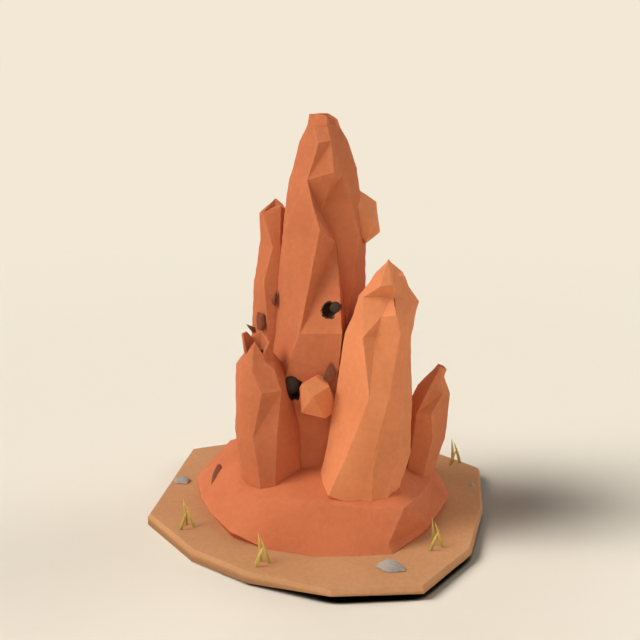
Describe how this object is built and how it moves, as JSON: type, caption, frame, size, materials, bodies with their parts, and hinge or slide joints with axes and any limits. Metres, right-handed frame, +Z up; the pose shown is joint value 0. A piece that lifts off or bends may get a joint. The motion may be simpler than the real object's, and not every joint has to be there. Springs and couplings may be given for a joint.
{
  "type": "termite mound",
  "caption": "Tall earthen termite mound of fluted spires and round lumps on a low apron, standing on a flat patch of bare ground with stones and dry grass.",
  "frame": {"origin": "middle of the patch of ground's flat underside", "axes": "+Z up along the tallest spire, +X to the right and -Y towards the viewer who faces the round lump between the two front spires"},
  "size_m": [2.7178, 2.7799, 3.1003],
  "materials": {
    "mound_earth": "matte",
    "bare_ground": "matte",
    "dark_mud": "matte",
    "plug_soil": "matte",
    "grey_stone": "matte",
    "dry_grass": "matte"
  },
  "bodies": {
    "root": {"grass_tuft_1_blade_1": "dry_grass", "grass_tuft_1_blade_2": "dry_grass", "grass_tuft_1_blade_3": "dry_grass", "grass_tuft_2_blade_1": "dry_grass", "grass_tuft_2_blade_2": "dry_grass", "grass_tuft_2_blade_3": "dry_grass", "grass_tuft_3_blade_1": "dry_grass", "grass_tuft_3_blade_2": "dry_grass", "grass_tuft_3_blade_3": "dry_grass", "grass_tuft_4_blade_1": "dry_grass", "grass_tuft_4_blade_2": "dry_grass", "grass_tuft_4_blade_3": "dry_grass", "ground_patch": "bare_ground", "mound": "mound_earth", "mud_chip_foot": "dark_mud", "mud_chip_front": "dark_mud", "mud_chip_lower": "dark_mud", "mud_chip_upper": "dark_mud", "mud_thorn": "dark_mud", "soil_plug_high": "plug_soil", "soil_plug_low": "plug_soil", "stone_front": "grey_stone", "stone_left": "grey_stone", "stone_sunk": "grey_stone"}
  },
  "joints": []
}
